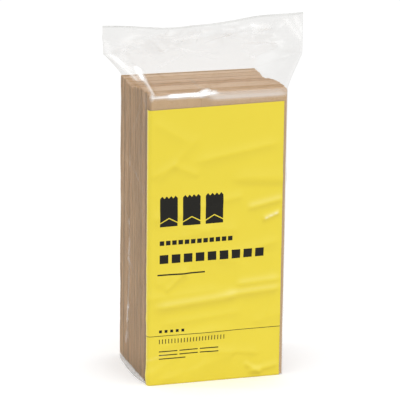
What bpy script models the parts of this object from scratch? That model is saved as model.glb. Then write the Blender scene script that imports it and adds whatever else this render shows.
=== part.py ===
"""Pack of paper lunch bags in clear film.

A hundred flat-folded paper bags stand on end, face to face, in a wrapper of clear film. The wrapper
fits the stack closely, closes like a gable above it, and ends in a flat sealed header that is wider
than the stack. Metres, +Z up, origin in the middle of the base, front towards -Y.

The bags are solid in pairs: one object is two bags that lie against each other.
"""

import math

import bmesh
import bpy

# Stack of bags
BAG_WIDTH = 0.133
PAIR_COUNT = 50
PAIR_PITCH = 0.0020
PAIR_GAP = 0.0003
STACK_DEPTH = PAIR_COUNT * PAIR_PITCH
FLAP_HEIGHT = 0.087          # the folded bottom lies this far up each bag, and is its thick end
FLAP_STEP = 0.014            # height over which a bag thins from its flap to its single walls
THICK_SHARE = 1.12           # thickness of a pair at its flap, against the mean
THIN_SHARE = 0.94            # and away from it
BUNDLES = (17, 16, 17)       # pairs in each bundle from the back; bundles stand end for end
EDGE_CHAMFER = 0.0006        # folded side edges, rounded off

# Tops of the bags: not quite level, with a dip between the first two bundles
TOP_LEVEL = 0.2764
DIP_DEPTH, DIP_PLACE, DIP_WIDTH = 0.0030, 0.018, 0.014
RISE_HEIGHT, RISE_PLACE, RISE_WIDTH = 0.0022, -0.030, 0.020

# Film wrapper
FILM = 0.0004
CLEARANCE = 0.0003
HALF_WIDTH = BAG_WIDTH / 2 + CLEARANCE + FILM
HALF_DEPTH = STACK_DEPTH / 2 + CLEARANCE + FILM
WALL_TOP = 0.2800            # the film leaves the stack's top edges here
SHOULDER = 0.3040            # front and back sheets meet here
HEADER_TOP = 0.3370
HEADER_SAG = 0.0055          # the header's top edge hangs this much lower in the middle
HEADER_HALF_WIDTH = 0.0975
HEADER_HALF_DEPTH = 0.0011
SHOULDER_TILT = 0.055        # the left shoulder stands higher than the right one
WALL_CHAMFER = 0.0007
GABLE_STEPS = 6
GABLE_HOLLOW = 1.3           # above 1 the sheets hang inwards on their way to the shoulder
SIDE_FOLD_SHARE = 0.5        # of the half depth, where each side's outward fold starts
SHEET_STEPS = 6              # stretches of film across the front or back sheet
VENT_RADIUS = 0.003
VENT_X = 0.030               # in the back sheet of the header
VENT_Z = 0.3200
VENT_SIDES = 16

PAPER_COLOR = (0.47, 0.31, 0.18, 1.0)
FILM_COLOR = (0.86, 0.88, 0.90, 1.0)


def clear_scene():
    for item in list(bpy.data.objects):
        bpy.data.objects.remove(item, do_unlink=True)


def collection_named(name):
    group = bpy.data.collections.new(name)
    bpy.context.scene.collection.children.link(group)
    return group


def material(name, color, roughness, alpha=1.0):
    made = bpy.data.materials.new(name)
    made.use_nodes = True
    shader = made.node_tree.nodes["Principled BSDF"]
    shader.inputs["Base Color"].default_value = color
    shader.inputs["Roughness"].default_value = roughness
    shader.inputs["Metallic"].default_value = 0.0
    shader.inputs["Alpha"].default_value = alpha
    return made


def add_object(name, shape, group, finish):
    mesh = bpy.data.meshes.new(name)
    shape.to_mesh(mesh)
    shape.free()
    made = bpy.data.objects.new(name, mesh)
    mesh.materials.append(finish)
    group.objects.link(made)
    return made


# ---------------------------------------------------------------- bags

def bell(value, place, width):
    return math.exp(-((value - place) / width) ** 2)


def top_of_stack(y):
    """Height of the bags' top edges at depth y."""
    dip = DIP_DEPTH * bell(y, DIP_PLACE, DIP_WIDTH)
    rise = RISE_HEIGHT * bell(y, RISE_PLACE, RISE_WIDTH)
    return TOP_LEVEL - dip + rise


def flap_down(pair):
    """Whether this pair stands with its folded bottom down, as only the middle bundle does."""
    return BUNDLES[0] <= pair < BUNDLES[0] + BUNDLES[1]


def thickness_share(pair, height):
    """Thickness of a pair at this height, against the mean thickness."""
    from_flap_end = height if flap_down(pair) else TOP_LEVEL - height
    thinned = (from_flap_end - FLAP_HEIGHT) / FLAP_STEP + 0.5
    return THICK_SHARE + (THIN_SHARE - THICK_SHARE) * min(max(thinned, 0.0), 1.0)


def stack_position(pair, height):
    """Depth of a pair's back face: the pairs share the stack's depth by their thickness."""
    shares = [thickness_share(each, height) for each in range(PAIR_COUNT)]
    return STACK_DEPTH / 2 - STACK_DEPTH * sum(shares[:pair]) / sum(shares)


def bag_pair(pair, group, finish):
    """Two flat bags as one slab, thicker over the flap, with rounded-off side edges."""
    middle = STACK_DEPTH / 2 - (pair + 0.5) * PAIR_PITCH
    base = CLEARANCE + FILM
    height = top_of_stack(middle) - base
    thickness = PAIR_PITCH - PAIR_GAP
    shape = bmesh.new()
    bmesh.ops.create_cube(shape, size=1.0)
    bmesh.ops.scale(shape, vec=(BAG_WIDTH, thickness, height), verts=shape.verts)
    bmesh.ops.translate(shape, vec=(0.0, 0.0, base + height / 2), verts=shape.verts)
    upright = [edge for edge in shape.edges if abs(edge.verts[0].co.z - edge.verts[1].co.z) > height / 2]
    bmesh.ops.bevel(shape, geom=upright, offset=EDGE_CHAMFER, segments=1, affect="EDGES")
    for flap_edge in (FLAP_HEIGHT, TOP_LEVEL - FLAP_HEIGHT):
        for level in (flap_edge - FLAP_STEP / 2, flap_edge + FLAP_STEP / 2):
            geometry = shape.verts[:] + shape.edges[:] + shape.faces[:]
            bmesh.ops.bisect_plane(shape, geom=geometry, plane_co=(0, 0, level), plane_no=(0, 0, 1))
    for vert in shape.verts:
        back = stack_position(pair, vert.co.z) - PAIR_GAP / 2
        front = stack_position(pair + 1, vert.co.z) + PAIR_GAP / 2
        vert.co.y = (back + front) / 2 + (back - front) * vert.co.y / thickness
    return add_object(f"bag_pair_{pair + 1:02d}", shape, group, finish)


# ---------------------------------------------------------------- film

def film_section(rise):
    """One level ring of the wrapper's outer surface; rise goes from 0 at the walls to 1 at the shoulder.

    The front and back sheets come together as it rises, and the film that this frees runs out
    sideways, so that each side ends in a fold at mid-depth.
    """
    depth_left = math.cos(rise * math.pi / 2) ** GABLE_HOLLOW if rise < 1 else 0.0
    spread = 1 - math.cos(rise * math.pi / 2)
    half_depth = HEADER_HALF_DEPTH + (HALF_DEPTH - HEADER_HALF_DEPTH) * depth_left
    fold_x = HALF_WIDTH + (HEADER_HALF_WIDTH - HALF_WIDTH) * spread
    corner_x = HALF_WIDTH + (HEADER_HALF_WIDTH - 2 * HEADER_HALF_DEPTH - HALF_WIDTH) * spread
    chamfer = WALL_CHAMFER * depth_left
    side_y = half_depth - chamfer if rise == 0 else half_depth * SIDE_FOLD_SHARE
    side_x = fold_x if rise == 0 else (fold_x + corner_x) / 2
    sheet_x = corner_x - chamfer
    front = [(-sheet_x + 2 * sheet_x * step / SHEET_STEPS, -half_depth) for step in range(SHEET_STEPS + 1)]
    right = [(side_x, -side_y), (fold_x, 0.0), (side_x, side_y)]
    back = [(-x, -y) for x, y in front]
    left = [(-x, -y) for x, y in right]
    return front + right + back + left


def header_sag(x):
    return HEADER_SAG * (1 - (x / HEADER_HALF_WIDTH) ** 2)


def film_rings():
    """Rings of points from the base to the header's top edge."""
    rings = [[(x, y, 0.0) for x, y in film_section(0.0)]]
    for step in range(GABLE_STEPS + 1):
        rise = step / GABLE_STEPS
        z = WALL_TOP + (SHOULDER - WALL_TOP) * rise
        rings.append([(x, y, z - SHOULDER_TILT * x * rise) for x, y in film_section(rise)])
    rings.append([(x, y, HEADER_TOP - header_sag(x)) for x, y in film_section(1.0)])
    return rings


def film_wrapper(group, cutters, finish):
    shape = bmesh.new()
    rings = [[shape.verts.new(point) for point in ring] for ring in film_rings()]
    count = len(rings[0])
    for low, high in zip(rings, rings[1:]):
        for place in range(count):
            after = (place + 1) % count
            shape.faces.new((low[place], low[after], high[after], high[place]))
    shape.faces.new(rings[0][::-1])
    sheet = SHEET_STEPS + 1                      # points along the front, then three on the right side,
    side = 3                                     # as many along the back, and three on the left side
    top = rings[-1]
    for step in range(SHEET_STEPS):
        behind = sheet + side + SHEET_STEPS - step
        shape.faces.new((top[step], top[step + 1], top[behind - 1], top[behind]))
    shape.faces.new(top[sheet - 1:sheet + side + 1])
    shape.faces.new(top[2 * sheet + side - 1:] + top[:1])
    bmesh.ops.recalc_face_normals(shape, faces=shape.faces)
    wrapper = add_object("film_wrapper", shape, group, finish)
    shell = wrapper.modifiers.new("film thickness", "SOLIDIFY")
    shell.thickness = FILM
    shell.offset = -1.0
    shell.use_even_offset = True

    bpy.ops.mesh.primitive_cylinder_add(vertices=VENT_SIDES, radius=VENT_RADIUS, depth=2 * HEADER_HALF_DEPTH,
                                        location=(VENT_X, HEADER_HALF_DEPTH, VENT_Z),
                                        rotation=(math.pi / 2, 0, 0))
    cutter = bpy.context.object
    cutter.name = "vent_cutter"
    cutter.hide_render = True
    cutter.display_type = "WIRE"
    for holder in list(cutter.users_collection):
        holder.objects.unlink(cutter)
    cutters.objects.link(cutter)
    vent = wrapper.modifiers.new("vent hole", "BOOLEAN")
    vent.operation = "DIFFERENCE"
    vent.object = cutter
    return wrapper


def main():
    clear_scene()
    pack = collection_named("paper bag pack")
    cutters = collection_named("cutters")
    paper = material("brown kraft paper", PAPER_COLOR, 0.85)
    clear_film = material("clear film", FILM_COLOR, 0.12, alpha=0.3)
    root = bpy.data.objects.new("pack", None)
    pack.objects.link(root)
    film_wrapper(pack, cutters, clear_film).parent = root
    for pair in range(PAIR_COUNT):
        bag_pair(pair, pack, paper).parent = root


main()
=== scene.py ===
"""Looks for a pack of paper lunch bags in clear film: the bags one by one, the printed film, and light."""

import math

import bmesh
import bpy
import numpy as np
from mathutils import Matrix, Vector


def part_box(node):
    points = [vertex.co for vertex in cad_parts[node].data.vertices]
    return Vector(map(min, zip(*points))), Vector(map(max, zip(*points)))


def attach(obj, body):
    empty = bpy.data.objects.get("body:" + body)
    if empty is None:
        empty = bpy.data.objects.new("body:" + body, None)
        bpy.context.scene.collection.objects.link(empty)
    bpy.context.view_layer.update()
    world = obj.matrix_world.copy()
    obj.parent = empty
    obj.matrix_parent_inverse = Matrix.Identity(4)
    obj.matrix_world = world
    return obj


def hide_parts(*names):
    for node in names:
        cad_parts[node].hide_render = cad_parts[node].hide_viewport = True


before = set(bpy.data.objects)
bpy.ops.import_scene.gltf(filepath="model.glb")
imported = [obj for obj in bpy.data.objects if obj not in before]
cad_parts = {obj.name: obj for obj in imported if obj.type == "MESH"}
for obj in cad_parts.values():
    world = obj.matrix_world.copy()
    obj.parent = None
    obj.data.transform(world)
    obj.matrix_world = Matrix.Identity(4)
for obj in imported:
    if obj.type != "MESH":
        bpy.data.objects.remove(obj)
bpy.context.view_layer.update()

MM = 0.001

# ---------------------------------------------------------------- sizes read from the frame

PAIR_NODES = sorted(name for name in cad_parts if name.startswith("bag_pair_"))
BACK_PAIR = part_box(PAIR_NODES[0])
FRONT_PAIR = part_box(PAIR_NODES[-1])
FILM_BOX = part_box("film_wrapper")
BAG_HALF_WIDTH = BACK_PAIR[1][0]
STACK_BACK = BACK_PAIR[1][1]
STACK_FRONT = FRONT_PAIR[0][1]
STACK_FOOT = BACK_PAIR[0][2]
STACK_TOP = FRONT_PAIR[1][2]
HEADER_TOP = FILM_BOX[1][2]
HEADER_HALF_WIDTH = FILM_BOX[1][0]

# ---------------------------------------------------------------- sizes of the bags

BUNDLE_SIZES = (17, 16, 17)      # pairs of bags, from the back; the bundles stand end for end
FLAP_HEIGHT = 87 * MM            # the folded bottom, flat against the bag's front
FLAP_THICKNESS = 0.24 * MM
FLAP_CUT_START = 0.76            # of its height: from here on the flap is cut back at both corners,
FLAP_CUT = 21 * MM               # by this much at its free edge
FLAP_NARROW = 0.9 * MM           # the flap stops this far short of the bag's side edges
FLAP_INSET = 0.3 * MM            # and starts this far in from the bag's end
FLAP_TUCK = 0.04 * MM            # its cut edge lies this much deeper
PAPER = 0.10 * MM
BAG_SHARE = 0.84                 # of the room that a bag has in the stack, taken by its paper
GUSSET_DEPTH = 9 * MM            # how far the tucked side is modelled
GUSSET_SHARE = 0.14              # of the bag's thickness, each side of the tuck
FOLD_ROUND = 0.22 * MM
SIDE_BAND = 3 * FOLD_ROUND       # the points this near the side edges take the painted edge shade
BAG_LEVELS = 40
TOP_LIGHT_BAND = 0.8 * MM              # the band along a bag's top edge that takes painted light
TOOTH_PITCH = 3.5 * MM           # the mouth is cut with a zigzag blade
TOOTH_DEPTH = 1.1 * MM
LIP_HEIGHT = 2 * MM
LIP_NARROW = 0.8 * MM
LIP_SINK = 0.02 * MM
CORNER_ROUND = 2.8 * MM          # the film rounds the front corners of the stack by this much, in radius

# how much the bags differ: each on its own, and in groups that run through the stack
TONE_LEAST, TONE_MOST, GROUP_TONE, GROUP_TONE_PERIOD = -0.16, 0.08, 0.13, 16.0
SHIFT_MOST, GROUP_SHIFT, GROUP_SHIFT_PERIOD = 0.40, 0.35, 12.0
LEAN = 0.10 * MM
SWAY = 0.22 * MM
NARROW_LEAST = 0.20 * MM
NARROW_WAVE = 0.25 * MM
TIGHT_DEPTH = 4 * MM             # the bags nearest the front are held straight by the film

# tones: 1 is plain kraft paper
EDGE_SHADE_TONE = 0.93                 # folded side edges, darker: painted shade of the side and of the gaps between the edges
TOP_LIGHT_TONE = 1.42                  # top edges and tops, lighter: painted light from above
LIP_TONE = 1.22
FLAP_TONE = 1.02
SEAM_TONE = 0.90
# the core is darker: painted shade deep in the gaps between the bags
CORE_SHADE_TONE = 0.7

CORE_LAP = 0.16 * MM             # each pair's core reaches this far past it, into its neighbours' gap
CORE_INSET = GUSSET_DEPTH + 3 * MM
CORE_FOOT, CORE_TOP = 3 * MM, 4 * MM
SEAM_WIDTH = 11 * MM
SEAM_X = -12 * MM
SEAM_PROUD = 0.26 * MM
SEAM_SINK = 0.02 * MM

# ---------------------------------------------------------------- small tools


def rng(seed):
    return np.random.default_rng(seed)


def smooth(value):
    value = np.clip(value, 0.0, 1.0)
    return value * value * (3 - 2 * value)


def wave(places, seed, period, octaves=4):
    """Smooth seeded noise along a line, about -1 to 1."""
    random = rng(seed)
    total = np.zeros_like(places)
    for octave in range(octaves):
        size = 0.62 ** octave
        turns = 2 * math.pi * places / (period / 1.9 ** octave)
        total += size * np.sin(turns * random.uniform(0.8, 1.25) + random.uniform(0, 2 * math.pi))
    return total / 1.6


def rounded_in(depth, radius):
    """How far a round corner has drawn in at this depth behind the flat face."""
    left = np.clip(radius - depth, 0.0, radius)
    return radius - np.sqrt(radius ** 2 - left ** 2)


def set_inputs(node, values):
    for name, value in values.items():
        node.inputs[name].default_value = value


def new_object(name, mesh):
    made = bpy.data.objects.new(name, mesh)
    bpy.context.scene.collection.objects.link(made)
    return made


# ---------------------------------------------------------------- node helpers


class Nodes:
    """Short calls for building one material's node tree."""

    def __init__(self, name):
        self.material = bpy.data.materials.new(name)
        self.material.use_nodes = True
        self.tree = self.material.node_tree
        self.tree.nodes.clear()
        self.output = self.add("ShaderNodeOutputMaterial")

    def add(self, kind, **values):
        node = self.tree.nodes.new(kind)
        for key, value in values.items():
            setattr(node, key, value)
        return node

    def link(self, source, target):
        self.tree.links.new(source, target)

    def feed(self, target, value):
        if isinstance(value, (int, float, tuple)):
            target.default_value = value
        else:
            self.link(value, target)

    def math(self, operation, first, second=0.0, third=0.0):
        node = self.add("ShaderNodeMath", operation=operation)
        for socket, value in zip(node.inputs, (first, second, third)):
            self.feed(socket, value)
        return node.outputs[0]

    def mix_color(self, factor, first, second, blend="MIX"):
        node = self.add("ShaderNodeMix", data_type="RGBA", blend_type=blend)
        self.feed(node.inputs["Factor"], factor)
        self.feed(node.inputs["A"], first)
        self.feed(node.inputs["B"], second)
        return node.outputs["Result"]

    def noise(self, vector, scale, detail=3.0, roughness=0.55, stretch=(1, 1, 1)):
        mapping = self.add("ShaderNodeMapping")
        mapping.inputs["Scale"].default_value = stretch
        self.link(vector, mapping.inputs["Vector"])
        node = self.add("ShaderNodeTexNoise")
        self.link(mapping.outputs[0], node.inputs["Vector"])
        set_inputs(node, {"Scale": scale, "Detail": detail, "Roughness": roughness})
        return node.outputs["Fac"]

    def bump(self, height, strength, distance):
        node = self.add("ShaderNodeBump")
        set_inputs(node, {"Strength": strength, "Distance": distance})
        self.link(height, node.inputs["Height"])
        return node.outputs[0]


# ---------------------------------------------------------------- materials

KRAFT_LIGHT = (0.69, 0.470, 0.262, 1.0)
KRAFT_DARK = (0.53, 0.345, 0.178, 1.0)
# pale kraft: painted light on the bags' tops, and the paler cut lips
KRAFT_PALE = (0.71, 0.565, 0.425, 1.0)
KRAFT_SPECK = (0.30, 0.18, 0.09, 1.0)
YELLOW = (0.78, 0.635, 0.052, 1.0)
YELLOW_DEEP = (0.74, 0.59, 0.040, 1.0)        # where the ink lies thicker
YELLOW_PAINTED_SHADE = (0.58, 0.445, 0.030, 1.0)      # painted shade on the side of slack folds that faces the floor
YELLOW_PAINTED_LIGHT = (0.90, 0.78, 0.150, 1.0)       # painted light on the side of slack folds that faces up
YELLOW_MILKY_HIGHLIGHT = (0.97, 0.93, 0.72, 1.0)        # painted highlight where the film over the ink is sharply folded
INK = (0.006, 0.005, 0.002, 1.0)
# the white of the film's painted highlights and fold whitening, and the tint of its mirror
FILM_WHITE = (0.99, 0.985, 0.975, 1.0)

# rows of plain marks on the print, in millimetres: left end, foot, height, count, length and gap
PRINT_ROWS = (
    (-56, 136.0, 4.4, 12, 4.4, 1.6),
    (-56, 118.5, 8.4, 9, 8.4, 3.2),
    (-58, 107.0, 1.4, 1, 46, 0),
    (-56, 51.2, 2.8, 5, 2.8, 2.6),
    (-56, 40.6, 4.4, 22, 0.8, 2.2),
    (-56, 32.4, 1.0, 3, 18, 2.0),
    (-56, 28.8, 1.0, 3, 18, 2.0),
    (-56, 25.2, 1.0, 1, 26, 0),
)
SIGN_LEFTS = (-56, -34, -12)     # three plain pictures of a bag, in millimetres
SIGN_FOOT, SIGN_WIDTH, SIGN_HEIGHT = 154, 17, 29
RULE_LOW, RULE_HIGH = 48.0, 48.6              # a thin rule across the whole print
RULE_HALF_LENGTH = 80


def kraft_paper():
    made = Nodes("kraft_paper")
    place = made.add("ShaderNodeTexCoord").outputs["Object"]
    fibres = made.noise(place, 260, 4, 0.6, stretch=(3.0, 3.0, 0.35))
    cloud = made.noise(place, 38, 3, 0.5, stretch=(1.0, 1.0, 0.5))
    specks = made.noise(place, 900, 2, 0.5)
    tone = made.add("ShaderNodeAttribute", attribute_name="tone").outputs["Fac"]
    mixed = made.math("MULTIPLY_ADD", fibres, 0.9, made.math("MULTIPLY_ADD", cloud, 0.7, -0.30))
    color = made.mix_color(mixed, KRAFT_DARK, KRAFT_LIGHT)
    color = made.mix_color(made.math("MULTIPLY", made.math("GREATER_THAN", specks, 0.66), 0.25),
                           color, KRAFT_SPECK)
    shade = made.add("ShaderNodeCombineColor")
    for socket in shade.inputs:
        made.link(tone, socket)
    color = made.mix_color(1.0, color, shade.outputs[0], blend="MULTIPLY")
    # high tones fade to pale kraft: painted light on the bags' tops, and the paler cut lips
    pale = made.math("MINIMUM", made.math("MAXIMUM", made.math("MULTIPLY_ADD", tone, 3.0, -3.4), 0.0), 0.75)
    color = made.mix_color(pale, color, KRAFT_PALE)
    shader = made.add("ShaderNodeBsdfPrincipled")
    made.link(color, shader.inputs["Base Color"])
    set_inputs(shader, {"Roughness": 0.82, "Specular IOR Level": 0.25})
    made.link(made.bump(fibres, 0.35, 0.0002), shader.inputs["Normal"])
    made.link(shader.outputs[0], made.output.inputs["Surface"])
    return made.material


def film_surface(name, tint, gloss_most, ripple_scale, ripple_strength):
    """Clear film: slightly grey, with a mirror sheen by angle, and white along its folds: painted highlights,
    and the whitening of sharp folds.

    A faint white mark is matt, so that it mirrors no paper, and the crest of a strong one shines again.
    """
    made = Nodes(name)
    place = made.add("ShaderNodeTexCoord").outputs["Object"]
    # painted highlights and fold whitening, and painted light on the loose film at the base
    milky_and_painted_light = made.add("ShaderNodeAttribute", attribute_name="milky_and_painted_light").outputs["Fac"]
    clear = made.add("ShaderNodeBsdfTransparent")
    clear.inputs["Color"].default_value = tint
    gloss = made.add("ShaderNodeBsdfPrincipled")
    set_inputs(gloss, {"Base Color": FILM_WHITE, "Specular IOR Level": 1.0, "Roughness": 0.24})
    crest = made.math("MAXIMUM", made.math("MULTIPLY_ADD", milky_and_painted_light, 1.2, -0.40), 0.0)
    mirror = made.math("MAXIMUM", made.math("MULTIPLY_ADD", milky_and_painted_light, -6.0, 1.0), crest)
    made.link(mirror, gloss.inputs["Metallic"])
    fresnel = made.add("ShaderNodeFresnel")
    fresnel.inputs["IOR"].default_value = 1.5
    sheen = made.math("MINIMUM", made.math("MULTIPLY", fresnel.outputs[0], 1.5), gloss_most)
    mix = made.add("ShaderNodeMixShader")
    made.link(made.math("MAXIMUM", sheen, milky_and_painted_light), mix.inputs[0])
    made.link(clear.outputs[0], mix.inputs[1])
    made.link(gloss.outputs[0], mix.inputs[2])
    normal = made.bump(made.noise(place, ripple_scale, 2, 0.5), ripple_strength, 0.0005)
    made.link(normal, gloss.inputs["Normal"])
    made.link(normal, fresnel.inputs["Normal"])
    made.link(mix.outputs[0], made.output.inputs["Surface"])
    return made.material


def clear_film():
    return film_surface("clear_film", tint=(0.915, 0.912, 0.906, 1.0), gloss_most=0.078,
                        ripple_scale=120, ripple_strength=0.12)


def sealed_film():
    """The narrow welded band along the header's top: both sheets in one, a little milky."""
    return film_surface("sealed_film", tint=(0.87, 0.87, 0.86, 1.0), gloss_most=0.08,
                        ripple_scale=700, ripple_strength=0.5)


def inside_box(made, across, up, left, right, low, high):
    """1 inside a rectangle of the print, in millimetres across and up, and 0 outside."""
    wide = made.math("MULTIPLY", made.math("GREATER_THAN", across, left), made.math("LESS_THAN", across, right))
    tall = made.math("MULTIPLY", made.math("GREATER_THAN", up, low), made.math("LESS_THAN", up, high))
    return made.math("MULTIPLY", wide, tall)


def bag_sign(made, across, up, left, low, width, height):
    """A plain picture of a standing paper bag: a block with a zigzag top and a light bent crease line."""
    teeth = made.math("PINGPONG", made.math("SUBTRACT", across, left), width / 8)
    top = made.math("ADD", low + height - 2.2, made.math("MULTIPLY", teeth, 1.1))
    body = made.math("MULTIPLY", inside_box(made, across, up, left, left + width, low, low + height + 3),
                     made.math("LESS_THAN", up, top))
    off_middle = made.math("ABSOLUTE", made.math("SUBTRACT", across, left + width / 2))
    crease = made.math("ADD", low + height * 0.28, made.math("MULTIPLY", off_middle, -0.55))
    off_crease = made.math("GREATER_THAN", made.math("ABSOLUTE", made.math("SUBTRACT", up, crease)), 0.55)
    return made.math("MULTIPLY", body, off_crease)


def mark_row(made, across, up, left, low, height, count, length, gap):
    """1 inside a row of equal upright marks."""
    along = made.math("SUBTRACT", across, left)
    mark = made.math("LESS_THAN", made.math("MODULO", along, length + gap), length)
    row = inside_box(made, across, up, left, left + count * (length + gap) - gap, low, low + height)
    return made.math("MULTIPLY", mark, row)


def clamped(made, value, scale, most):
    """value times scale, held between 0 and most."""
    return made.math("MINIMUM", made.math("MAXIMUM", made.math("MULTIPLY", value, scale), 0.0), most)


def printed_film():
    """Opaque yellow ink under the film's gloss, with plain dark shapes, painted shade and light on the slack
    folds, and painted highlights.
    """
    made = Nodes("printed_film")
    uv = made.add("ShaderNodeUVMap", uv_map="film")
    split = made.add("ShaderNodeSeparateXYZ")
    made.link(uv.outputs[0], split.inputs[0])
    across = made.math("MULTIPLY", split.outputs[0], 1000)
    up = made.math("MULTIPLY", split.outputs[1], 1000)
    shapes = [bag_sign(made, across, up, left, SIGN_FOOT, SIGN_WIDTH, SIGN_HEIGHT) for left in SIGN_LEFTS]
    shapes += [mark_row(made, across, up, *row) for row in PRINT_ROWS]
    shapes.append(inside_box(made, across, up, -RULE_HALF_LENGTH, RULE_HALF_LENGTH, RULE_LOW, RULE_HIGH))
    ink = shapes[0]
    for shape in shapes[1:]:
        ink = made.math("MAXIMUM", ink, shape)
    place = made.add("ShaderNodeTexCoord").outputs["Object"]
    uneven = made.noise(place, 45, 3, 0.5)
    yellow = made.mix_color(made.math("MULTIPLY", uneven, 0.5), YELLOW, YELLOW_DEEP)
    # the folds' slope paints shade on their undersides and light on their upper sides
    lean = made.add("ShaderNodeAttribute", attribute_name="lean").outputs["Fac"]
    yellow = made.mix_color(clamped(made, lean, 1.6, 0.6), yellow, YELLOW_PAINTED_SHADE)
    yellow = made.mix_color(clamped(made, lean, -1.1, 0.4), yellow, YELLOW_PAINTED_LIGHT)
    # painted highlights and whitening along the print's folds
    milky_and_painted_light = made.add("ShaderNodeAttribute", attribute_name="milky_and_painted_light").outputs["Fac"]
    shader = made.add("ShaderNodeBsdfPrincipled")
    color = made.mix_color(milky_and_painted_light, made.mix_color(ink, yellow, INK), YELLOW_MILKY_HIGHLIGHT)
    made.link(color, shader.inputs["Base Color"])
    set_inputs(shader, {"Roughness": 0.26, "Specular IOR Level": 0.24})
    fine = made.noise(place, 160, 2, 0.5)
    made.link(made.bump(fine, 0.08, 0.0006), shader.inputs["Normal"])
    made.link(shader.outputs[0], made.output.inputs["Surface"])
    return made.material


# ---------------------------------------------------------------- bags


def faces_of_pair(node):
    """Heights of a CAD pair's level cuts, with the depth of its back and front at each."""
    points = np.array([vertex.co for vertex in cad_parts[node].data.vertices])
    levels = []
    for height in sorted(set(np.round(points[:, 2], 4))):
        depths = points[np.abs(points[:, 2] - height) < 0.5 * MM, 1]
        levels.append((height, depths.max(), depths.min()))
    return np.array(levels)


def flap_up(pair):
    """Every second bundle, and so the front one too, stands with the folded bottoms up."""
    bundle = int(np.searchsorted(np.cumsum(BUNDLE_SIZES), pair, side="right"))
    return bundle % 2 == 0


def bag_outline(half_width, front, back):
    """Level section of a folded bag: two panels, and at each side two folds with the gusset tucked in."""
    middle = (front + back) / 2
    thin = (back - front) * GUSSET_SHARE
    near, rim, deep = half_width - FOLD_ROUND, half_width, half_width - GUSSET_DEPTH
    right = [(near, front), (rim, (front + middle - thin) / 2), (near, middle - thin), (deep, middle),
             (near, middle + thin), (rim, (back + middle + thin) / 2), (near, back)]
    return right + [(-x, y) for x, y in reversed(right)]


def loft(shape, rings, tone_layer, tone, top_light_tone=1.0):
    """A closed solid through level rings; its side folds are darker, painted shade, and its last ring is
    lightened by the given top tone, painted light.
    """
    made = []
    rim = max(point[0] for ring in rings for point in ring) - SIDE_BAND
    for ring in rings:
        verts = [shape.verts.new(point) for point in ring]
        for vert in verts:
            # points at the side folds take the painted edge shade
            vert[tone_layer] = tone * (EDGE_SHADE_TONE if abs(vert.co.x) > rim else 1.0)
        made.append(verts)
    # the last ring takes the top tone: painted light
    for vert in made[-1]:
        vert[tone_layer] = tone * top_light_tone
    count = len(made[0])
    for low, high in zip(made, made[1:]):
        for place in range(count):
            after = (place + 1) % count
            shape.faces.new((low[place], low[after], high[after], high[place]))
    shape.faces.new(made[0][::-1])
    shape.faces.new(made[-1])


def zigzag(x, seed):
    offset = rng(seed).uniform(0, TOOTH_PITCH)
    return TOOTH_DEPTH * abs(((x + offset) / TOOTH_PITCH) % 1.0 - 0.5) * 2


def lip(shape, tone_layer, tone, half_width, edge_z, inner_z, front, back, seed):
    """One panel's cut edge at the bag's mouth: a thin strip with teeth, from inner_z out to edge_z."""
    count = int(2 * half_width / (TOOTH_PITCH / 2))
    outward = 1 if edge_z > inner_z else -1
    columns = []
    for step in range(count + 1):
        x = -half_width + 2 * half_width * step / count
        tip = edge_z - outward * zigzag(x, seed)
        column = [shape.verts.new(p) for p in ((x, front, inner_z), (x, front, tip), (x, back, tip),
                                               (x, back, inner_z))]
        for vert in column:
            vert[tone_layer] = tone
        columns.append(column)
    for left, right in zip(columns, columns[1:]):
        for place in range(4):
            after = (place + 1) % 4
            quad = (left[place], right[place], right[after], left[after])
            shape.faces.new(quad if outward > 0 else quad[::-1])
    ends = (columns[0], columns[-1][::-1])
    for end in ends:
        shape.faces.new(end if outward > 0 else end[::-1])


def bag_levels(foot, top):
    """Heights of a bag's rings: evenly spaced, and a last one for the band of painted light at the top."""
    return np.append(np.linspace(foot, top - TOP_LIGHT_BAND, BAG_LEVELS - 1), top)


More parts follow.
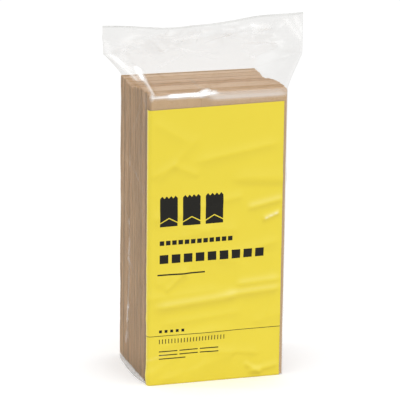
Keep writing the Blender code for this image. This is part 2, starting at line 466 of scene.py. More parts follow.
def add_bag(shape, tone_layer, place, pair, levels, share):
    """One of the hundred bags; place counts them from the back, share is its part of the pair."""
    seed = 100 + place
    random = rng(seed)
    order = np.array([float(place)])
    tone = 1.0 + random.uniform(TONE_LEAST, TONE_MOST)
    tone += GROUP_TONE * float(wave(order, 77, GROUP_TONE_PERIOD)[0])
    up = flap_up(pair)
    foot, top = levels[0, 0] + random.uniform(0, 0.5) * MM, levels[-1, 0] + random.uniform(-0.7, 0.2) * MM
    heights = bag_levels(foot, top)
    back_face = np.interp(heights, levels[:, 0], levels[:, 1])
    front_face = np.interp(heights, levels[:, 0], levels[:, 2])
    room = (back_face - front_face) / 2
    back = back_face - share * room
    front = back - room * BAG_SHARE
    lean = LEAN * wave(heights, seed, 0.16)
    from_front = (front + back) / 2 - STACK_FRONT
    from_back = STACK_BACK - (front + back) / 2
    drawn_in = np.maximum(rounded_in(from_front, CORNER_ROUND), rounded_in(from_back, CORNER_ROUND / 2))
    loose = smooth(from_front / TIGHT_DEPTH)
    shift = random.uniform(-SHIFT_MOST, SHIFT_MOST)
    shift += GROUP_SHIFT * float(wave(order, 78, GROUP_SHIFT_PERIOD)[0])
    sideways = loose * (shift * MM + SWAY * wave(heights, seed + 1, 0.19))
    narrow = NARROW_LEAST + loose * (NARROW_LEAST + NARROW_WAVE * (wave(heights, seed + 2, 0.08) + 1))
    top -= float(rounded_in(from_front[-1], CORNER_ROUND)) * 0.8
    heights = bag_levels(foot, top)
    flap_reach = FLAP_HEIGHT * FLAP_CUT_START
    has_flap = heights > top - flap_reach if up else heights < foot + flap_reach
    body_front = front + np.where(has_flap, FLAP_THICKNESS, 0.0)
    rings = []
    for step in range(BAG_LEVELS):
        half_width = BAG_HALF_WIDTH - drawn_in[step] - narrow[step]
        squeeze = 0.10 * (back[step] - body_front[step]) if step in (0, BAG_LEVELS - 1) else 0.0
        outline = bag_outline(half_width, body_front[step] + squeeze, back[step] - squeeze)
        rings.append([(x + sideways[step], y + lean[step], heights[step]) for x, y in outline])
    loft(shape, rings, tone_layer, tone, TOP_LIGHT_TONE)
    mouth = foot if up else top
    inner = mouth + (LIP_HEIGHT if up else -LIP_HEIGHT)
    at = 0 if up else BAG_LEVELS - 1
    width = BAG_HALF_WIDTH - drawn_in[at] - LIP_NARROW
    outer = mouth - TOOTH_DEPTH * 0.4 if up else mouth + TOOTH_DEPTH * 0.9
    for depth, side in ((front[at], 1), (back[at] - PAPER, -1)):
        near = depth + side * LIP_SINK
        lip(shape, tone_layer, tone * LIP_TONE, width, outer, inner, near, near + PAPER, seed + side)
    add_flap(shape, tone_layer, tone, up, heights, front, drawn_in)


def add_flap(shape, tone_layer, tone, up, heights, front, drawn_in):
    """The folded bottom, flat on the bag's front: its free edge is cut back at both corners."""
    start = heights[-1] - FLAP_INSET if up else heights[0] + FLAP_INSET
    toward = -1 if up else 1
    width = BAG_HALF_WIDTH - FLAP_NARROW
    rings = []
    for fraction, cut in ((0.0, 0.0), (0.35, 0.0), (0.70, 0.0), (FLAP_CUT_START, 0.0), (1.0, FLAP_CUT)):
        z = start + toward * FLAP_HEIGHT * fraction
        face = float(np.interp(z, heights, front)) + (FLAP_TUCK if cut else 0.0)
        near = width - float(np.interp(z, heights, drawn_in)) - cut
        thick = FLAP_THICKNESS * (0.9 if fraction < 1 else 0.7)
        rings.append([(-near, face, z), (near, face, z), (near, face + thick, z), (-near, face + thick, z)])
    if up:
        rings.reverse()
    loft(shape, rings, tone_layer, tone * FLAP_TONE)


def add_core(shape, tone_layer, levels):
    """Paper well inside the stack, so that no light passes between the bags; its darker tone is painted shade
    for the depths of the gaps.
    """
    half_width = BAG_HALF_WIDTH - CORE_INSET
    rings = []
    for height, back, front in levels:
        z = min(max(height, STACK_FOOT + CORE_FOOT), levels[-1, 0] - CORE_TOP)
        near, far = front - CORE_LAP, back + CORE_LAP
        rings.append([(-half_width, near, z), (half_width, near, z),
                      (half_width, far, z), (-half_width, far, z)])
    loft(shape, rings, tone_layer, CORE_SHADE_TONE)


def add_seam(shape, tone_layer, depth, outward, low, high):
    """The glued lap down the middle of a bag's panel."""
    left, right = SEAM_X - SEAM_WIDTH / 2, SEAM_X + SEAM_WIDTH / 2
    proud = depth + outward * SEAM_PROUD
    near, far = min(depth, proud), max(depth, proud)
    rings = [[(left, near, z), (right, near, z), (right, far, z), (left, far, z)] for z in (low, high)]
    loft(shape, rings, tone_layer, SEAM_TONE)


def build_bags(paper):
    last = len(PAIR_NODES) - 1
    for pair, node in enumerate(PAIR_NODES):
        levels = faces_of_pair(node)
        shape = bmesh.new()
        tone_layer = shape.verts.layers.float.new("tone")
        add_bag(shape, tone_layer, 2 * pair, pair, levels, 0.0)
        add_bag(shape, tone_layer, 2 * pair + 1, pair, levels, 1.0)
        if 0 < pair < last:
            add_core(shape, tone_layer, levels)
        if pair == 0:
            back = levels[:, 1].max() - SEAM_SINK
            add_seam(shape, tone_layer, back, 1, STACK_FOOT + 4 * MM, STACK_TOP - 6 * MM)
        if pair == last:                         # only above the print, which would show it as a bump
            front = levels[:, 2].min() + SEAM_SINK
            add_seam(shape, tone_layer, front, -1, STACK_TOP - 16 * MM, STACK_TOP - 4 * MM)
        bmesh.ops.recalc_face_normals(shape, faces=shape.faces)
        mesh = bpy.data.meshes.new(f"bags_{pair + 1:02d}")
        shape.to_mesh(mesh)
        shape.free()
        mesh.materials.append(paper)
        piece = new_object(f"bags_{pair + 1:02d}", mesh)
        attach(piece, "root")
        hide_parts(node)


# ---------------------------------------------------------------- film

FILM_GAP = 0.45 * MM
WALL_LEFT = BAG_HALF_WIDTH + FILM_GAP
WALL_FRONT = -STACK_FRONT + FILM_GAP
WALL_ROUND = 3.2 * MM
TENT_ROUND = 0.5 * MM            # of the wall's corner rounding, what is left in the header
WALL_TOP = STACK_TOP + 0.3 * MM
EDGE_ROUND = 4.0 * MM            # the film rolls over the front and back top edges of the stack
EDGE_TURN = math.radians(58)
WALL_END = WALL_TOP - EDGE_ROUND * math.sin(EDGE_TURN)
ROLL_DEPTH = EDGE_ROUND * (1 - math.cos(EDGE_TURN))
LEFT_SHOULDER_Z = 0.3095         # each side of the film runs out to here, and goes straight up from it
RIGHT_SHOULDER_Z = 0.2990
TENT_HOLLOW = 1.9                # above 1 the sheets hang inwards as they come together
TENT_LENGTH = 94 * MM            # along the film, from the stack's top edge to the header's cut edge
TENT_SPREAD = 2.4                # how full the tent stays towards its sides
TENT_RISE_POWER = 1.15           # rows lie closer together at the foot of the tent
TENT_SIDE_POWER = 1.1
TENT_CLOSED = 0.96               # of its height, where the sheets have met in the middle
SHEET_GAP = 0.9 * MM             # half the gap that is left between the sheets
SEAL_BAND = 2.6 * MM
HEADER_INSET = 0.8 * MM
HEADER_DROP = 6.6 * MM           # the lowest part of the cut edge, below the top of the CAD header
# how far the cut edge rises towards each corner, from where, and over what distance
LEFT_LIFT, LEFT_LIFT_START, LEFT_LIFT_RUN = 3.4 * MM, 40 * MM, 50 * MM
RIGHT_LIFT, RIGHT_LIFT_START, RIGHT_LIFT_RUN = 8.2 * MM, -5 * MM, 84 * MM
BASE_FOLD = 30 * MM              # the base's innermost ring ends this far in from each side
BASE_LOW, BASE_RISE = 0.15 * MM, 0.35 * MM
LABEL_TOP = 0.2665
LABEL_TILT = 0.018               # the print climbs a little to the right at its top edge
LABEL_TILT_FOOT = 30 * MM        # no tilt at the base, and none where the film rolls over
LABEL_TILT_HEAD = 7.5 * MM
LABEL_WRAP = 2.5 * MM            # the print runs this far round the left corner
LABEL_MARGIN = 1.0 * MM          # and stops this far short of the right one
CLOSE = 1e-6                     # for comparing places along the film
PRINTED_SLOT = 1                 # in the film's list of materials, which the clear film leads
SEALED_SLOT = 2
FRONT_COLUMNS, SIDE_COLUMNS, BACK_COLUMNS, CORNER_COLUMNS = 108, 62, 76, 5
WRAP_COLUMNS, MARGIN_COLUMNS = 4, 4
BASE_ROWS, WALL_ROWS, ROLL_ROWS, TENT_ROWS = 8, 150, 8, 78
STRAIGHT_FRONT = 2 * (WALL_LEFT - WALL_ROUND)
STRAIGHT_SIDE = 2 * (WALL_FRONT - WALL_ROUND)


def column_places():
    """Where each column runs: which straight or corner of the wall's ring, and how far along it.

    Even parts are straights and odd ones corners: 0 is the front, 2 the right, 4 the back, 6 the left.
    """
    margin = LABEL_MARGIN / STRAIGHT_FRONT
    wrap = LABEL_WRAP / STRAIGHT_SIDE
    places = []

    def run(part, start, end, count):
        for step in range(count):
            places.append((part, start + (end - start) * step / count))

    run(0, 0.0, 1 - margin, FRONT_COLUMNS)
    run(0, 1 - margin, 1.0, MARGIN_COLUMNS)
    run(1, 0.0, 1.0, CORNER_COLUMNS)
    run(2, 0.0, 1.0, SIDE_COLUMNS)
    run(3, 0.0, 1.0, CORNER_COLUMNS)
    run(4, 0.0, 1.0, BACK_COLUMNS)
    run(5, 0.0, 1.0, CORNER_COLUMNS)
    run(6, 0.0, 1 - wrap, SIDE_COLUMNS)
    run(6, 1 - wrap, 1.0, WRAP_COLUMNS)
    run(7, 0.0, 1.0, CORNER_COLUMNS)
    return places


def is_printed(part, along):
    """Whether a column lies on the print: the front but its right margin, and just round the left corner."""
    if part == 0:
        return along < 1 - CLOSE - LABEL_MARGIN / STRAIGHT_FRONT
    if part == 6:
        return along >= 1 - CLOSE - LABEL_WRAP / STRAIGHT_SIDE
    return part == 7


COLUMNS = column_places()
PRINTED = {place for place, column in enumerate(COLUMNS) if is_printed(*column)}


def ring(left, right, half_depth, radius):
    """A rounded rectangle's points, one for each column."""
    radius = min(radius, half_depth * 0.98)
    points = np.zeros((len(COLUMNS), 2))
    low_x, high_x = -left + radius, right - radius
    low_y, high_y = -half_depth + radius, half_depth - radius
    for index, (part, along) in enumerate(COLUMNS):
        if part == 0:
            points[index] = low_x + (high_x - low_x) * along, -half_depth
        elif part == 2:
            points[index] = right, low_y + (high_y - low_y) * along
        elif part == 4:
            points[index] = high_x + (low_x - high_x) * along, half_depth
        elif part == 6:
            points[index] = -left, high_y + (low_y - high_y) * along
        else:
            quarter = (part - 1) / 2
            angle = (quarter - 1 + along) * math.pi / 2
            center_x = high_x if part in (1, 3) else low_x
            center_y = low_y if part in (1, 7) else high_y
            points[index] = center_x + radius * math.cos(angle), center_y + radius * math.sin(angle)
    return points


def arc_length(points):
    """Distance along the ring from the middle of the front, positive to the right, and the whole way round."""
    steps = np.linalg.norm(np.roll(points, -1, axis=0) - points, axis=1)
    length = np.concatenate([[0.0], np.cumsum(steps)[:-1]])
    around = length - STRAIGHT_FRONT / 2
    total = steps.sum()
    return np.where(around > total / 2, around - total, around), total


def header_edge(x):
    """Height of the header's cut edge: nearly level, a little up at the left corner and more at the right."""
    left_lift = LEFT_LIFT * smooth((-x - LEFT_LIFT_START) / LEFT_LIFT_RUN)
    right_lift = RIGHT_LIFT * smooth((x - RIGHT_LIFT_START) / RIGHT_LIFT_RUN)
    return HEADER_TOP - HEADER_DROP + left_lift + right_lift


def tent_section(rise):
    """Level ring of the film above the stack, where the sheets come together and run out sideways."""
    up = rise ** TENT_RISE_POWER
    reach = []
    for shoulder in (LEFT_SHOULDER_Z, RIGHT_SHOULDER_Z):
        reach.append(min(up * (HEADER_TOP - WALL_TOP) / (shoulder - WALL_TOP), 1.0))
    spread = HEADER_HALF_WIDTH - HEADER_INSET - WALL_LEFT
    left, right = (WALL_LEFT + spread * each ** TENT_SIDE_POWER for each in reach)
    points = ring(left, right, WALL_FRONT, WALL_ROUND * (1 - rise) + TENT_ROUND)
    share = np.where(points[:, 0] < 0, -points[:, 0] / left, points[:, 0] / right)
    start = WALL_FRONT - ROLL_DEPTH
    side_depth = start * np.where(points[:, 0] < 0, 1 - reach[0], 1 - reach[1])
    middle_depth = start * max(1 - up / TENT_CLOSED, 0.0) ** TENT_HOLLOW
    fullness = 1 - np.clip(share, 0, 1) ** TENT_SPREAD
    depth = SHEET_GAP + side_depth + np.maximum(middle_depth - side_depth, 0) * fullness
    points[:, 1] *= np.minimum(depth, start) / WALL_FRONT
    height = WALL_TOP + (header_edge(points[:, 0]) - WALL_TOP) * up
    return np.column_stack([points, height])


def film_grid():
    """Points of the smooth wrapper, row by row, with each row's place along the film, and the wall's ring."""
    wall = ring(WALL_LEFT, WALL_LEFT, WALL_FRONT, WALL_ROUND)
    rows, along = [], []
    for step in range(BASE_ROWS):
        inward = 1 - step / BASE_ROWS
        half_width = WALL_LEFT - BASE_FOLD * inward
        under = ring(half_width, half_width, WALL_FRONT * (1 - inward) + 0.2 * MM, WALL_ROUND)
        rows.append(np.column_stack([under, np.full(len(under), BASE_LOW + BASE_RISE * inward)]))
        along.append(-WALL_FRONT * inward)
    for step in range(WALL_ROWS + 1):
        height = WALL_END * step / WALL_ROWS
        slant = LABEL_TILT * wall[:, 0] * (height / LABEL_TOP) * smooth(height / LABEL_TILT_FOOT)
        slant = slant * smooth((WALL_END - height) / LABEL_TILT_HEAD)
        rows.append(np.column_stack([wall, height + slant]))
        along.append(height)
    for step in range(1, ROLL_ROWS + 1):
        turned = EDGE_TURN * step / ROLL_ROWS
        rolled = ring(WALL_LEFT, WALL_LEFT, WALL_FRONT, WALL_ROUND)
        rolled[:, 1] *= 1 - EDGE_ROUND * (1 - math.cos(turned)) / WALL_FRONT
        height = WALL_END + EDGE_ROUND * math.sin(turned)
        rows.append(np.column_stack([rolled, np.full(len(rolled), height)]))
        along.append(WALL_END + (WALL_TOP - WALL_END) * step / ROLL_ROWS)
    for step in range(1, TENT_ROWS + 1):
        rows.append(tent_section(step / TENT_ROWS))
        along.append(WALL_TOP + TENT_LENGTH * step / TENT_ROWS)
    return np.array(rows), np.array(along), wall


def ridges(across, along, segments):
    """Height of a set of straight creases, each given as start, end, height and width in millimetres.

    Starts and ends are places on the film: across it from the middle of the front, and along it from the
    base. The walls' corners lie at 66 and 166 on the right and as far on the left.
    """
    total = np.zeros_like(across)
    for (start_s, start_v), (end_s, end_v), height, width in segments:
        run = np.array([end_s - start_s, end_v - start_v])
        length = max(float(np.hypot(*run)), 1e-6)
        run = run / length
        ds, dv = across - start_s, along - start_v
        forward = (ds * run[0] + dv * run[1]) / length
        off = np.abs(-ds * run[1] + dv * run[0])
        taper = smooth(np.minimum(forward + 0.12, 1.12 - forward) / 0.24)
        total += height * taper * np.exp(-(off / width) ** 1.4)
    return total


def random_creases(seed, count, low, high, length, height, width, tilt=None):
    """Seeded creases inside a box of the film, given in mm."""
    random = rng(seed)
    made = []
    for _ in range(count):
        s, v = random.uniform(low[0], high[0]), random.uniform(low[1], high[1])
        angle = random.uniform(0, math.pi) if tilt is None else random.normal(tilt[0], tilt[1])
        reach = random.uniform(*length) / 2
        ds, dv = reach * math.cos(angle), reach * math.sin(angle)
        size = random.uniform(*height) * random.choice([-1, 1])
        made.append(((s - ds, v - dv), (s + ds, v + dv), size, random.uniform(*width)))
    return made


FRONT_LEFT = -66.0               # place of the front left corner across the film, mm
GABLE = WALL_TOP / MM            # place of the stack's top edge along the film, mm
BACK_LEFT = -230                 # creases that start beyond this are on the back, and may pass its middle


def film_creases():
    """All the folds of the film, in millimetres across and along it."""
    left, right, top = FRONT_LEFT, -FRONT_LEFT, GABLE
    main = [
        # the fold from the front left edge of the stack out to the left shoulder, and its fellows
        ((left + 1.5, top - 2), (-53, top + 38), 1.5, 2.2),
        ((left + 8, top + 2), (-46, top + 40), -1.0, 2.6),
        ((-63, top + 22), (-62, top + 68), 1.1, 2.8),
        ((left + 14, top + 34), (left + 5, top + 70), 1.5, 2.6),
        ((left + 22, top + 26), (left + 16, top + 60), 1.2, 2.2),
        # folds that run down the left side from there
        ((left - 14, top + 4), (left - 32, top - 46), 0.75, 2.0),
        ((left - 22, top + 6), (left - 58, top - 70), -0.6, 2.2),
        ((left - 40, top + 4), (left - 78, top - 60), 0.6, 2.4),
        ((left - 66, top - 2), (left - 69, 140), 0.75, 1.9),
        ((left - 69, 150), (left - 66, 22), 0.85, 2.1),
        ((left - 62, 56), (left - 70, 34), 1.1, 4.0),
        ((left - 88, 118), (left - 48, 104), 0.6, 2.2),
        ((left - 78, 96), (left - 30, 112), -0.45, 2.5),
        # slack in the print
        ((-57, 76), (15, 82), 1.9, 5.0),
        ((10, 83), (60, 86), 1.5, 4.0),
        ((-50, 92), (-30, 110), 1.2, 4.0),
        ((20, 93), (60, 95), 1.2, 3.5),
        ((44, 154), (60, 160), 1.4, 2.2),
        ((30, 166), (62, 172), 1.2, 3.0),
        ((-48, 128), (30, 112), 0.4, 7.0),
        ((28, 15), (44, 4), 1.2, 2.6),
        ((33, 6), (60, 11), 1.2, 2.6),
        ((50, 60), (54, 100), 0.4, 4.0),
        ((-20, 214), (56, 226), 0.9, 5.0),
        ((-50, 60), (20, 66), 0.8, 5.0),
        ((2, 120), (58, 132), 0.9, 5.0),
        ((-10, 30), (40, 24), 0.7, 4.0),
        ((-56, 200), (-20, 236), 0.6, 5.0),
        # slack over the front top edge
        ((left + 16, top + 1), (left + 52, top + 1.5), 1.1, 3.0),
        ((left + 48, top + 3), (left + 58, top + 2), 2.0, 3.4),
        ((left + 57, top + 2), (left + 74, top + 48), 1.1, 3.2),
        ((left + 58, top + 1), (left + 128, top + 1), 0.5, 2.8),
        # the right end of the gable
        ((right - 1, top - 2), (right + 2, top + 62), 1.3, 2.4),
        ((right - 12, top + 30), (right - 4, top + 78), 1.0, 3.0),
        ((right - 24, top + 50), (right - 2, top + 92), -1.0, 3.0),
    ]
    header_low, header_high = (-64, top + 44), (64, top + 92)
    random = random_creases(5, 34, header_low, header_high, (14, 46), (0.3, 0.9), (1.8, 3.6))
    random += random_creases(6, 26, (168, top + 30), (232, top + 92), (14, 46), (0.4, 1.2), (1.8, 3.6))
    random += random_creases(7, 26, (-232, top + 30), (-168, top + 92), (14, 46), (0.4, 1.2), (1.8, 3.6))
    random += random_creases(8, 12, (-60, top + 4), (60, top + 44), (16, 40), (0.4, 1.0), (2.0, 3.6))
    random += random_creases(9, 30, (-160, 10), (-72, top - 4), (24, 80), (0.2, 0.5), (1.6, 2.8),
                             (1.75, 0.35))
    random += random_creases(10, 30, (72, 10), (160, top - 4), (24, 80), (0.2, 0.5), (1.6, 2.8), (1.4, 0.35))
    random += random_creases(11, 30, (-60, 10), (60, 255), (20, 70), (0.3, 0.8), (3.5, 7.0), (0.1, 0.35))
    random += random_creases(12, 24, (170, 10), (232, 270), (20, 70), (0.15, 0.4), (2.0, 4.0))
    random += random_creases(13, 24, (-232, 10), (-170, 270), (20, 70), (0.15, 0.4), (2.0, 4.0))
    return main + random


def milky_and_highlight_places():
    """Painted highlights along the film's folds, where sharp folds also whiten it: start, end, strength and
    width of each.
    """
    left, right, top = FRONT_LEFT, -FRONT_LEFT, GABLE
    return [
        ((left + 1.5, top - 4), (-53, top + 40), 0.50, 1.7),
        ((-59, top + 22), (-53, top + 40), 0.60, 2.4),
        ((-64, top + 22), (-60, top + 50), 0.45, 2.2),
        ((-60, top + 36), (-63, top + 72), 0.50, 2.2),
        ((-56, top + 46), (-50, top + 70), 0.22, 2.0),
        ((left - 4, top + 4), (left - 20, top + 26), 0.22, 3.0),
        ((left - 16, top - 10), (left - 8, top + 14), 0.14, 5.0),
        ((left + 2, top - 2.2), (left + 62, top - 1.2), 0.70, 1.2),
        ((left + 18, top - 1.4), (left + 50, top - 0.6), 0.70, 2.0),
        ((left + 40, top - 1), (left + 64, top + 2), 0.60, 2.2),
        ((left + 48, top - 3), (left + 56, top + 7), 0.55, 2.2),
        ((left + 52, top + 4), (left + 44, top + 24), 0.16, 2.2),
        ((left + 56, top - 0.6), (right - 2, top - 0.6), 0.16, 1.2),
        ((left + 57, top - 4.4), (right - 1, top - 4.4), 0.56, 2.6),
        ((46, 155), (59, 160), 0.60, 0.8),
        ((-57, 79), (15, 85), 0.07, 2.6),
        ((12, 86), (60, 89), 0.08, 2.2),
        ((30, 169), (62, 175), 0.07, 2.2),
        ((22, 96), (60, 98), 0.05, 2.0),
        ((left - 64, 268), (left - 64, 120), 0.13, 1.6),
        ((left - 64, 130), (left - 66, 22), 0.20, 1.8),
        ((left - 66, 60), (left - 65, 44), 0.22, 2.6),
        ((left - 70, 34), (left - 76, 18), 0.26, 4.0),
        ((left - 90, 118), (left - 66, 105), 0.19, 1.4),
        ((left - 68, 106), (left - 36, 94), 0.16, 1.6),
        ((left - 90, 206), (left - 42, 195), 0.14, 1.8),
        ((left - 44, 196), (left - 16, 183), 0.15, 1.8),
        ((left - 95, 158), (left - 60, 140), 0.14, 3.0),
        ((left - 8, top - 4), (left - 30, top - 60), 0.13, 2.4),
        ((left - 20, top - 2), (left - 60, top - 50), 0.12, 2.8),
        ((left - 84, 70), (left - 50, 52), 0.12, 3.0),
        ((left - 30, 168), (left - 4, 150), 0.10, 2.6),
        ((left + 96, top + 84), (left + 108, top + 78), 0.62, 3.0),
        ((left + 44, top + 76), (left + 64, top + 80), 0.34, 3.2),
        ((right - 15, top + 89), (right - 2, top + 58), 0.58, 1.7),
        ((right - 8, top + 90), (right - 1, top + 66), 0.60, 2.0),
        ((right - 2, top + 2), (right - 1, top + 58), 0.22, 1.5),
    ]


def fine_creases():
    """Faint white lines all over the film, painted highlights and whitening along fine creases, given in the
    same way.
    """
    top = GABLE
    header = random_creases(21, 16, (-62, top + 46), (62, top + 90), (10, 34), (0.08, 0.26), (0.9, 2.0))
    header += random_creases(22, 14, (172, top + 46), (230, top + 90), (10, 34), (0.08, 0.22), (0.9, 2.0))
    header += random_creases(23, 14, (-230, top + 46), (-172, top + 90), (10, 34), (0.08, 0.22), (0.9, 2.0))
    sides = random_creases(24, 34, (-162, 12), (-72, 262), (14, 60), (0.03, 0.10), (0.8, 1.6), (1.75, 0.5))
    sides += random_creases(25, 34, (72, 12), (162, 262), (14, 60), (0.03, 0.10), (0.8, 1.6), (1.4, 0.5))
    back = random_creases(26, 30, (172, 12), (230, 262), (14, 60), (0.03, 0.09), (0.8, 1.6))
    back += random_creases(27, 30, (-230, 12), (-172, 262), (14, 60), (0.03, 0.09), (0.8, 1.6))
    return [(start, end, abs(size), width) for start, end, size, width in header + sides + back]


def film_normals(grid):
    """Outward normals of the grid's points; the rows wrap round."""
    around = np.roll(grid, -1, axis=1) - np.roll(grid, 1, axis=1)
    up = np.gradient(grid, axis=0)
    normal = np.cross(around, up)
    return normal / np.maximum(np.linalg.norm(normal, axis=2, keepdims=True), 1e-12)


HEADER_CURVE = 2.6 * MM          # how far the header waves to and fro
SKIRT_OUT = 4.0 * MM             # the film stands off the left side along the base
SKIRT_HEIGHT = 7 * MM
SKIRT_LEFT, SKIRT_RIGHT = -166.5 * MM, -66.5 * MM
SKIRT_START = -73 * MM           # it begins a little behind the front corner
SKIRT_END = -160 * MM
# painted light that whitens the loose film along the base
SKIRT_PAINTED_LIGHT = 0.50
# the most white that the painted highlights and fold whitening reach
MILKY_AND_PAINTED_LIGHT_MOST = 0.92
WALL_SINK = 0.08 * MM            # folds go no further in than this, so that they stay off the bags
TENT_SINK = 0.55 * MM            # nor than this above the stack, so that the sheets don't cross


def bulge(grid, across, height):
    """Moves that are too broad to be creases: the header's curve and the loose film along the base."""
    x, z = grid[:, :, 0], grid[:, :, 2]
    free = smooth((z - LEFT_SHOULDER_Z + 12 * MM) / (30 * MM))
    grid[:, :, 1] += free * HEADER_CURVE * (np.sin(x / (19 * MM) + 0.6) + 0.6 * np.sin(x / (8.5 * MM) + 2.0))
    side = smooth((SKIRT_START - across) / (12 * MM)) * smooth((across - SKIRT_LEFT) / (10 * MM))
    middle = np.sin(np.clip((SKIRT_RIGHT - across) / (SKIRT_RIGHT - SKIRT_LEFT), 0, 1) * math.pi) ** 0.7
    skirt = SKIRT_OUT * smooth(1 - height / SKIRT_HEIGHT) * (height > -6 * MM)
    grid[:, :, 0] -= side * middle * skirt
    return grid


def film_relief(across, height, total):
    """How far the folds lift each point of the film off its smooth shape."""
    creases = film_creases()
    relief = ridges(across / MM, height / MM, creases) * MM
    other_way = np.where(across > 0, across - total, across + total)
    on_back = [crease for crease in creases if crease[0][0] < BACK_LEFT]
    relief += ridges(other_way / MM, height / MM, on_back) * MM
    on_wall = smooth((WALL_END - height) / (6 * MM)) * (height > 0)
    relief = np.where(on_wall > 0, np.maximum(relief, -WALL_SINK) * on_wall + relief * (1 - on_wall), relief)
    relief *= smooth((height - 0.5 * MM) / (4 * MM))
    return np.where(height > WALL_TOP, np.maximum(relief, -TENT_SINK), relief)


def fold_freedom(grid, height):
    """What is left of the relief: less in the weld along the cut edge, and less where the sides are shut."""
    sealed = smooth((height - (WALL_TOP + TENT_LENGTH - 5 * MM)) / (4 * MM))
    beside = smooth((np.abs(grid[:, :, 0]) - WALL_LEFT) / (6 * MM))
    shut = smooth(1 - np.abs(grid[:, :, 1]) / (9 * MM))
    return (1 - 0.75 * sealed) * (1 - 0.8 * beside * shut)


def film_milky_and_painted_light(across, height):
    """How white each point is: painted highlights and whitening along the sharp folds, and painted light over
    the loose film at the base.
    """
    milky_and_painted_light = np.clip(ridges(across / MM, height / MM, milky_and_highlight_places() + fine_creases()), 0, MILKY_AND_PAINTED_LIGHT_MOST)
    on_side = (across < SKIRT_START) & (across > SKIRT_END)
    on_skirt = smooth(1 - height / (6 * MM)) * (height > -6 * MM) * on_side
    return np.maximum(milky_and_painted_light, SKIRT_PAINTED_LIGHT * on_skirt)


def film_mesh(grid, along, around, total, values):
    """The wrapper's mesh, with a UV map in metres along the film and one float layer for each of values."""
    rows, columns = grid.shape[:2]
    shape = bmesh.new()
    layers = {name: shape.verts.layers.float.new(name) for name in values}
    uv_layer = shape.loops.layers.uv.new("film")
    verts = [[shape.verts.new(grid[row, column]) for column in range(columns)] for row in range(rows)]
    for row in range(rows):
        for column in range(columns):
            for name, layer in layers.items():
                verts[row][column][layer] = values[name][row, column]
    for row in range(rows - 1):
        low, high = along[row], along[row + 1]
        for column in range(columns):
            after = (column + 1) % columns
            face = shape.faces.new((verts[row][column], verts[row][after], verts[row + 1][after],
                                    verts[row + 1][column]))
            face.smooth = True
            if row >= BASE_ROWS and high <= LABEL_TOP + CLOSE and column in PRINTED:
                face.material_index = PRINTED_SLOT
            elif low > WALL_TOP + TENT_LENGTH - SEAL_BAND - CLOSE:
                face.material_index = SEALED_SLOT
            start, end = around[column], around[after]
            if end < start - total / 2:
                end += total
            corners = ((start, low), (end, low), (end, high), (start, high))
            for loop, place in zip(face.loops, corners):
                loop[uv_layer].uv = place
    bmesh.ops.remove_doubles(shape, verts=verts[0], dist=0.01 * MM)
    bmesh.ops.holes_fill(shape, edges=[edge for edge in shape.edges if edge.is_boundary], sides=0)
    bmesh.ops.recalc_face_normals(shape, faces=shape.faces)
    mesh = bpy.data.meshes.new("film_wrapper_visual")
    shape.to_mesh(mesh)
    shape.free()
    return mesh


def build_film():
    grid, along, wall = film_grid()
    around, total = arc_length(wall)
    across = np.repeat(around[None, :], len(grid), axis=0)
    height = np.repeat(along[:, None], len(COLUMNS), axis=1)
    grid = bulge(grid, across, height)
    relief = film_relief(across, height, total)
    # the folds' slope: the print paints shade on their undersides and light on their upper sides
    lean = np.gradient(relief, axis=0) / np.gradient(along)[:, None]
    relief *= fold_freedom(grid, height)
    grid = grid + film_normals(grid) * relief[:, :, None]
    grid[:, :, 2] = np.maximum(grid[:, :, 2], 0.1 * MM)
    mesh = film_mesh(grid, along, around, total, {"milky_and_painted_light": film_milky_and_painted_light(across, height), "lean": lean})
    for finish in (clear_film(), printed_film(), sealed_film()):
        mesh.materials.append(finish)
    piece = new_object("film_visual", mesh)
    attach(piece, "root")
    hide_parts("film_wrapper")


# ---------------------------------------------------------------- studio


WHITE = 1.04                     # radiance of the paper-white surroundings, just above full white
ROOM_LIGHT = 0.84                # radiance of the room, as it lights the pack
FLOOR_GLOW = 0.14
FLOOR_FADE_START = 0.06          # the floor goes from lit to plain white between these distances
FLOOR_FADE_END = 0.42
CAMERA_AZIMUTH, CAMERA_ELEVATION, CAMERA_ROLL = -17.27, 14.93, 0.70
CAMERA_DISTANCE = 2.423
CAMERA_TARGET = (-0.0020, 0.0, 0.1629)
CAMERA_SENSOR = 36               # mm, as is the lens
CAMERA_LENS = 231.1


def area_light(name, place, target, size, power):
    data = bpy.data.lights.new(name, "AREA")
    data.shape = "RECTANGLE"
    data.size, data.size_y = size
    data.energy = power
    lamp = new_object(name, data)
    lamp.location = place
    lamp.rotation_euler = (Vector(target) - Vector(place)).to_track_quat("-Z", "Y").to_euler()


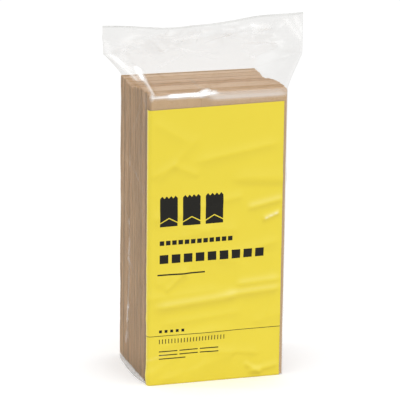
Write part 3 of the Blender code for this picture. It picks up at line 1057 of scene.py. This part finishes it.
def build_floor():
    """A white floor that keeps its shadow near the pack and runs out into plain white."""
    bpy.ops.mesh.primitive_plane_add(size=8, location=(0, 0, 0))
    floor = bpy.context.object
    floor.name = "floor"
    made = Nodes("floor_white")
    place = made.add("ShaderNodeTexCoord").outputs["Object"]
    shader = made.add("ShaderNodeBsdfPrincipled")
    pale = made.mix_color(made.noise(place, 3), (0.94, 0.94, 0.94, 1), (0.95, 0.95, 0.95, 1))
    made.link(pale, shader.inputs["Base Color"])
    set_inputs(shader, {"Roughness": 0.9, "Emission Color": (1, 1, 1, 1), "Emission Strength": FLOOR_GLOW})
    lit = made.add("ShaderNodeEmission")
    lit.inputs["Strength"].default_value = WHITE
    away = made.add("ShaderNodeVectorMath", operation="LENGTH")
    made.link(place, away.inputs[0])
    fade = made.add("ShaderNodeMapRange", interpolation_type="SMOOTHSTEP")
    made.link(away.outputs["Value"], fade.inputs["Value"])
    set_inputs(fade, {"From Min": FLOOR_FADE_START, "From Max": FLOOR_FADE_END})
    mix = made.add("ShaderNodeMixShader")
    made.link(fade.outputs[0], mix.inputs[0])
    made.link(shader.outputs[0], mix.inputs[1])
    made.link(lit.outputs[0], mix.inputs[2])
    made.link(mix.outputs[0], made.output.inputs["Surface"])
    floor.data.materials.append(made.material)


def build_room():
    """White all round: as bright as the floor's edge to look at, and a little softer as light."""
    world = bpy.data.worlds.new("studio")
    bpy.context.scene.world = world
    world.use_nodes = True
    nodes = world.node_tree.nodes
    background = nodes["Background"]
    background.inputs["Color"].default_value = (1, 1, 1, 1)
    path = nodes.new("ShaderNodeLightPath")
    strength = nodes.new("ShaderNodeMapRange")
    set_inputs(strength, {"To Min": ROOM_LIGHT, "To Max": WHITE})
    world.node_tree.links.new(path.outputs["Is Camera Ray"], strength.inputs["Value"])
    world.node_tree.links.new(strength.outputs[0], background.inputs["Strength"])

    area_light("overhead softbox", place=(0.35, -0.45, 1.70), target=(0, 0, 0.25), size=(1.60, 2.20), power=9.5)
    area_light("left strip", place=(-0.75, 0.20, 1.30), target=(-0.08, 0, 0.29), size=(0.12, 0.50), power=2.4)
    area_light("front softbox", place=(0.50, -1.65, 0.60), target=(0, 0, 0.15), size=(0.90, 0.25), power=2.4)


def build_camera():
    azimuth, elevation = math.radians(CAMERA_AZIMUTH), math.radians(CAMERA_ELEVATION)
    backward = Vector((math.sin(azimuth) * math.cos(elevation), -math.cos(azimuth) * math.cos(elevation),
                       math.sin(elevation)))
    data = bpy.data.cameras.new("camera")
    data.sensor_width = CAMERA_SENSOR
    data.lens = CAMERA_LENS
    camera = new_object("camera", data)
    camera.location = Vector(CAMERA_TARGET) + backward * CAMERA_DISTANCE
    look = backward.to_track_quat("Z", "Y").to_matrix()
    camera.rotation_euler = (look @ Matrix.Rotation(math.radians(CAMERA_ROLL), 3, "Z")).to_euler()
    bpy.context.scene.camera = camera


# ---------------------------------------------------------------- all of it

bpy.context.scene.view_settings.view_transform = "Standard"
build_bags(kraft_paper())
build_film()
build_floor()
build_room()
build_camera()
